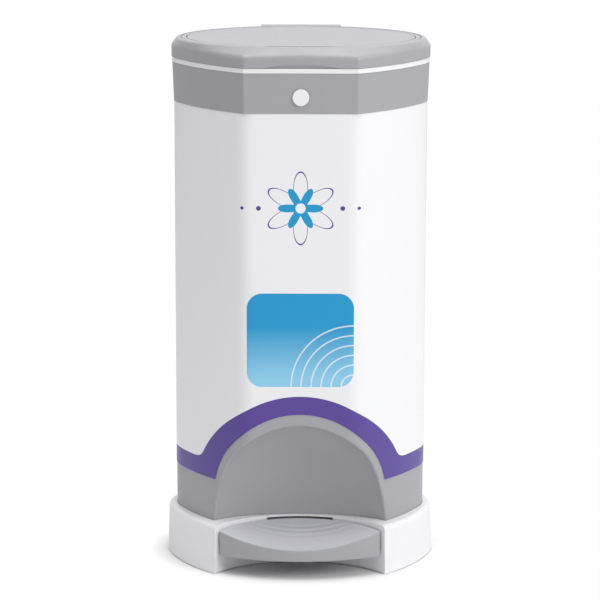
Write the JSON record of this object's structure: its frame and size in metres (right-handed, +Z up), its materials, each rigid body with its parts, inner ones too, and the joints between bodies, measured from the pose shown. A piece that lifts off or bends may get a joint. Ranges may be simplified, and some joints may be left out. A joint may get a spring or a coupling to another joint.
{
  "type": "litter disposal pail",
  "caption": "Tall step-on litter disposal pail with a hinged lid, trap door, wide foot pedal, printed wrap label and rear lifting bail.",
  "frame": {"origin": "centre of the bounding box's footprint on the floor", "axes": "+Z up, front with the pedal towards -Y, +X to the right seen from the front"},
  "size_m": [0.2892, 0.2515, 0.564],
  "materials": {
    "white_shell": "moulded white plastic, soft gloss",
    "white_inner": "moulded white plastic, matte",
    "unit_white": "moulded white plastic, soft gloss",
    "door_white": "moulded white plastic, soft gloss",
    "bracket_white": "moulded white plastic",
    "handle_white": "moulded white plastic",
    "button_white": "moulded white plastic, gloss",
    "rubber_feet": "soft rubber",
    "seal_rubber": "soft grey rubber",
    "screw_steel": "zinc plated",
    "pin_steel": "bright drawn",
    "lever_steel": "filled grey plastic",
    "rod_steel": "drawn",
    "spring_steel": "spring wire",
    "tub_grey": "fine moulded grey plastic, satin",
    "collar_grey": "fine moulded grey plastic, satin",
    "label_print": null,
    "pedal_grey": "fine moulded grey plastic, satin",
    "lid_grey": "fine moulded grey plastic, satin",
    "lid_grey_trim": "fine moulded grey plastic, satin",
    "lid_grey_panel": "fine moulded grey plastic, satin",
    "cassette_blue": "moulded blue plastic",
    "bag_film": "thin translucent film"
  },
  "bodies": {
    "housing": {"base_skirt": "white_shell", "bottom_plate": "white_shell", "rubber_feet": "rubber_feet", "base_screws": "screw_steel", "body_shell": "tub_grey", "label_sleeve": "label_print", "collar": "collar_grey", "unit_seal": "seal_rubber", "cassette_carrier": "white_inner", "liner_cassette": "cassette_blue", "liner_bag": "bag_film", "rod_guides": "white_inner", "pedal_pin": "pin_steel", "button_guide": "white_inner", "hinge_bracket": "bracket_white", "hinge_pin": "pin_steel", "bracket_screws": "screw_steel"},
    "pedal": {"pedal_tread": "pedal_grey", "pedal_lever": "lever_steel", "pedal_screws": "screw_steel"},
    "push_rod": {"push_rod": "rod_steel", "rod_foot": "white_inner", "spring_seat": "white_inner", "rod_crosshead": "white_inner", "return_spring": "spring_steel"},
    "top_unit": {"top_frame": "unit_white", "catch_tongue": "white_inner", "door_pin": "pin_steel", "door_spring": "spring_steel"},
    "trap_door": {"trap_door": "door_white", "door_seal": "seal_rubber"},
    "lid": {"lid_shell": "lid_grey", "lid_trim": "lid_grey_trim", "lid_panel": "lid_grey_panel", "lid_inner": "unit_white", "lid_seal": "seal_rubber", "lid_crank": "white_inner", "lid_screws": "screw_steel"},
    "release": {"push_button": "button_white", "latch_slide": "white_inner", "button_spring": "spring_steel"},
    "handle": {"carry_handle": "handle_white"}
  },
  "joints": [
    {"name": "pedal_hinge", "type": "hinge", "parent": "housing", "child": "pedal", "pos_m": [0, -0.031, 0.018], "axis": [1, 0, 0], "range_deg": [0, 10]},
    {"name": "rod_slide", "type": "slide", "parent": "housing", "child": "push_rod", "axis": [0, 0, 1], "range_m": [0, 0.023], "stiffness_N_per_m": 250, "springref_m": -0.02, "deforming": ["return_spring"]},
    {"name": "top_unit_hinge", "type": "hinge", "parent": "housing", "child": "top_unit", "pos_m": [0, 0.1195, 0.551], "axis": [-1, 0, 0], "range_deg": [0, 75]},
    {"name": "lid_hinge", "type": "hinge", "parent": "top_unit", "child": "lid", "pos_m": [0, 0.1195, 0.551], "axis": [-1, 0, 0], "range_deg": [0, 70]},
    {"name": "door_hinge", "type": "hinge", "parent": "top_unit", "child": "trap_door", "pos_m": [0, 0.0798, 0.498], "axis": [1, 0, 0], "range_deg": [0, 60], "stiffness_Nm_per_rad": 0.03, "springref_deg": -74.48},
    {"name": "button_slide", "type": "slide", "parent": "housing", "child": "release", "axis": [0, 1, 0], "range_m": [0, 0.004], "stiffness_N_per_m": 400, "springref_m": -0.004, "deforming": ["button_spring"]},
    {"name": "handle_hinge", "type": "hinge", "parent": "housing", "child": "handle", "pos_m": [0, 0.1215, 0.512], "axis": [1, 0, 0], "range_deg": [0, 95]}
  ],
  "couplings": [
    {"joint": "rod_slide", "follows": "pedal_hinge", "m_per_rad": 0.1317},
    {"joint": "lid_hinge", "follows": "pedal_hinge", "ratio": 7},
    {"joint": "door_hinge", "follows": "pedal_hinge", "ratio": 6}
  ]
}
